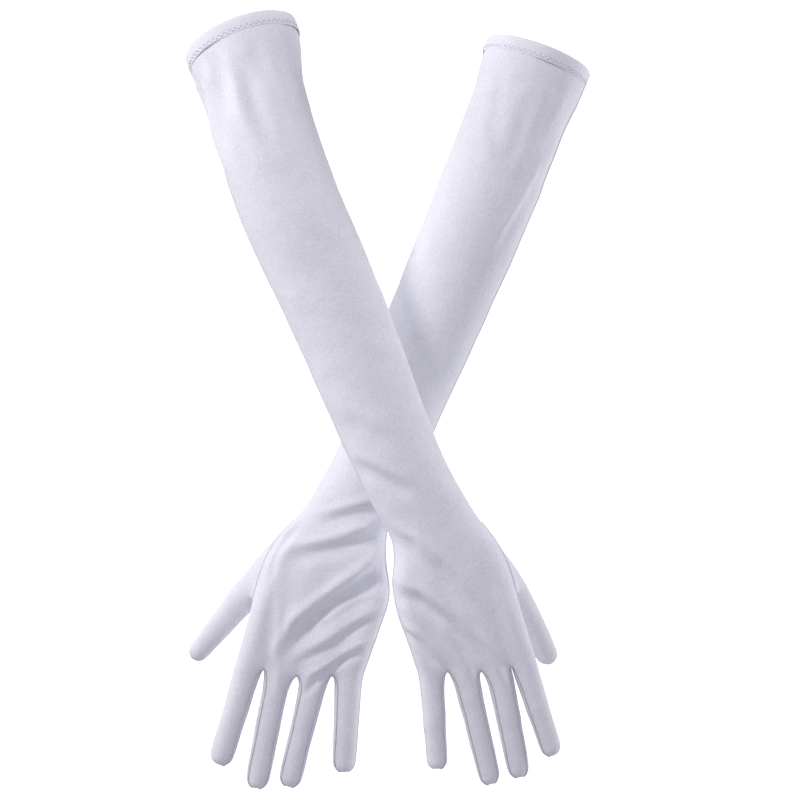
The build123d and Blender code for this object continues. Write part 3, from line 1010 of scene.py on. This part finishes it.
def hang_pieces(glove, pieces, seams, digits, thumb):
    """Hangs a glove's panels and seams on its bodies, in place of the CAD's."""
    elbow = Vector(JOINTS[f"{glove}_elbow"]["pos_m"])
    wrist = Vector(JOINTS[f"{glove}_wrist"]["pos_m"])
    way = (wrist - elbow).normalized()
    sleeve, hand, thumb_knit = (pieces[f"{glove}_{name}"] for name in ("sleeve", "hand", "thumb"))
    for piece in (sleeve, seams["sleeve_side_seam"]):
        bend_at(piece, glove, ("upper_sleeve", "forearm_sleeve"), "elbow", way, ELBOW_REACH, ELBOW_REACH)
    halves = [f"{glove}_{part}_{half}" for part in ("upper", "forearm") for half in ("back", "palm")]
    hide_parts(*halves)
    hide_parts(f"{glove}_upper_side_seam", f"{glove}_forearm_side_seam")
    for piece in (hand, seams["hand_side_seam"], seams["thumb_seam"]):
        bend_at(piece, glove, ("forearm_sleeve", "hand"), "wrist", way, WRIST_BEFORE, WRIST_AFTER)
    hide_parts(f"{glove}_hand_back", f"{glove}_hand_palm")
    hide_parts(f"{glove}_hand_side_seam")
    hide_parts(f"{glove}_thumb_seam")
    bend_digit(thumb_knit, glove, "thumb_body", thumb, THUMB_START, THUMB_END)
    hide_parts(f"{glove}_thumb")
    sewn = {f"{glove}_{name}": piece for name, piece in seams.items()}
    for name in FINGERS:
        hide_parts(f"{glove}_{name}_back", f"{glove}_{name}_palm")
        for key, piece in {**pieces, **sewn}.items():
            if key.startswith(f"{glove}_{name}_"):
                bend_digit(piece, glove, f"{name}_finger", digits[name], FINGER_START, FINGER_END)
        for side in FOURCHETTES[name]:
            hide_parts(f"{glove}_{name}_{side}_fourchette")


def build_glove(glove, knit, fourchette_knit, hem_knit, seam_thread, gusset_thread, hem_thread):
    """Makes all the pieces of one glove and hangs them on their bodies."""
    skin, digits, thumb = build_cage(glove)
    apply_modifier(skin, "SUBSURF", levels=SUBDIVISIONS, render_levels=SUBDIVISIONS)
    wrist = Vector(JOINTS[f"{glove}_wrist"]["pos_m"])
    press_folds(skin, glove, (digits["middle"]["root"] - wrist).length)
    seams = sew_seams(glove, skin, seam_thread, gusset_thread)
    pieces = cut_apart(skin)
    for name, piece in pieces.items():
        finish_panel(piece, fourchette_knit if "fourchette" in name else knit)
    hang_pieces(glove, pieces, seams, digits, thumb)

    band, stitching = hem_band(glove, hem_knit), hem_stitching(glove, hem_thread)
    for piece, slot in ((band, "hem_knit"), (stitching, "hem_thread")):
        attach(piece, f"{glove}_upper_sleeve")
    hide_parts(f"{glove}_hem_band")
    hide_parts(f"{glove}_hem_stitching")


white_knit = knit_material("white_stretch_knit", (0.96, 0.96, 0.97), (0.79, 0.785, 0.83))
strip_knit = knit_material("fourchette_stretch_knit", (0.96, 0.96, 0.97), (0.78, 0.775, 0.82), WALE * 1.05)
# Painted light: the hem band's knit is a lighter copy of the sleeve's knit. It brightens the band in place of the
# light that its angled surface misses.
painted_light_hem_knit = knit_material("folded_hem_knit", (0.97, 0.97, 0.98), (0.87, 0.865, 0.90))
overlock = thread_material("overlock_thread", (0.92, 0.92, 0.95), (0.80, 0.79, 0.85))
# The fourchette seams' thread is real, but its grey tone is painted shade: it draws dark lines where shade falls
# in the crotches between the fingers.
gusset_thread = thread_material("gusset_thread", (0.74, 0.73, 0.79), (0.52, 0.51, 0.58))
hem_cotton = thread_material("hem_thread", (0.80, 0.79, 0.84), (0.60, 0.59, 0.66))
for glove in ("left", "right"):
    build_glove(glove, white_knit, strip_knit, painted_light_hem_knit, overlock, gusset_thread, hem_cotton)


# Stage


def glowing(name, colour, strength):
    """A plain even surface for the floor and the backdrop."""
    nodes = Nodes(name)
    nodes.shader.inputs["Base Color"].default_value = (0.9, 0.9, 0.91, 1)
    nodes.shader.inputs["Emission Color"].default_value = (*colour, 1)
    nodes.shader.inputs["Emission Strength"].default_value = strength
    return nodes.material


def stage_piece(piece, name, material):
    """Marks a floor or backdrop, seen but giving no light of its own."""
    piece.name = name
    piece.data.materials.append(material)
    piece.visible_diffuse = piece.visible_glossy = False
    piece.visible_transmission = piece.visible_shadow = False


def area_light(name, place, target, size, power, colour):
    """A soft light that faces a point."""
    data = bpy.data.lights.new(name, "AREA")
    data.shape, data.size, data.energy, data.color = "DISK", size, power, colour
    light = bpy.data.objects.new(name, data)
    bpy.context.scene.collection.objects.link(light)
    light.location = place
    light.rotation_euler = (Vector(target) - Vector(place)).to_track_quat("-Z", "Y").to_euler()


def studio_world():
    """A white studio: bright behind and beside the gloves, dimmer on the camera's side."""
    world = bpy.data.worlds.new("studio")
    bpy.context.scene.world = world
    world.use_nodes = True
    tree = world.node_tree
    split = tree.nodes.new("ShaderNodeSeparateXYZ")
    tree.links.new(tree.nodes.new("ShaderNodeTexCoord").outputs["Generated"], split.inputs[0])
    reach = tree.nodes.new("ShaderNodeMapRange")
    reach.interpolation_type = "SMOOTHSTEP"
    for socket, value in zip(reach.inputs[1:5], (-0.5, 0.5, 0.44, 0.62)):
        socket.default_value = value
    tree.links.new(split.outputs["Y"], reach.inputs["Value"])
    background = tree.nodes["Background"]
    background.inputs["Color"].default_value = (0.87, 0.86, 1.0, 1)
    tree.links.new(reach.outputs["Result"], background.inputs["Strength"])


def build_stage():
    """The floor, the backdrop, the lights and the camera."""
    low, high = (Vector(corner) for corner in cad_box)
    middle = (low + high) / 2
    bpy.ops.object.select_all(action="DESELECT")
    bpy.ops.mesh.primitive_plane_add(size=12, location=(middle.x, middle.y, low.z - 0.35))
    stage_piece(bpy.context.object, "floor", glowing("pale_floor", (1, 1, 1), 1.0))
    bpy.ops.mesh.primitive_uv_sphere_add(segments=48, ring_count=24, radius=7, location=middle)
    stage_piece(bpy.context.object, "backdrop", glowing("white_backdrop", (1, 1, 1), 1.0))
    area_light("key", middle + Vector((-1.2, -1.15, 1.4)), middle, 0.45, 21, (0.97, 0.96, 1.0))
    area_light("left_side", middle + Vector((-2.0, 0.3, 0.4)), middle, 1.2, 12, (0.96, 0.96, 1.0))
    area_light("right_side", middle + Vector((2.0, 0.6, 0.3)), middle, 1.2, 20, (0.96, 0.96, 1.0))
    area_light("front_fill", middle + Vector((0.4, -2.4, 0.2)), middle, 1.6, 4, (0.95, 0.94, 1.0))
    studio_world()
    bpy.context.scene.view_settings.view_transform = "Standard"
    data = bpy.data.cameras.new("camera")
    data.lens, data.sensor_width = 109.1, 36
    camera = bpy.data.objects.new("camera", data)
    bpy.context.scene.collection.objects.link(camera)
    camera.location = (middle.x + 0.008, -1.628, middle.z + 0.004)
    camera.rotation_euler = (pi / 2, 0, 0)
    bpy.context.scene.camera = camera


build_stage()
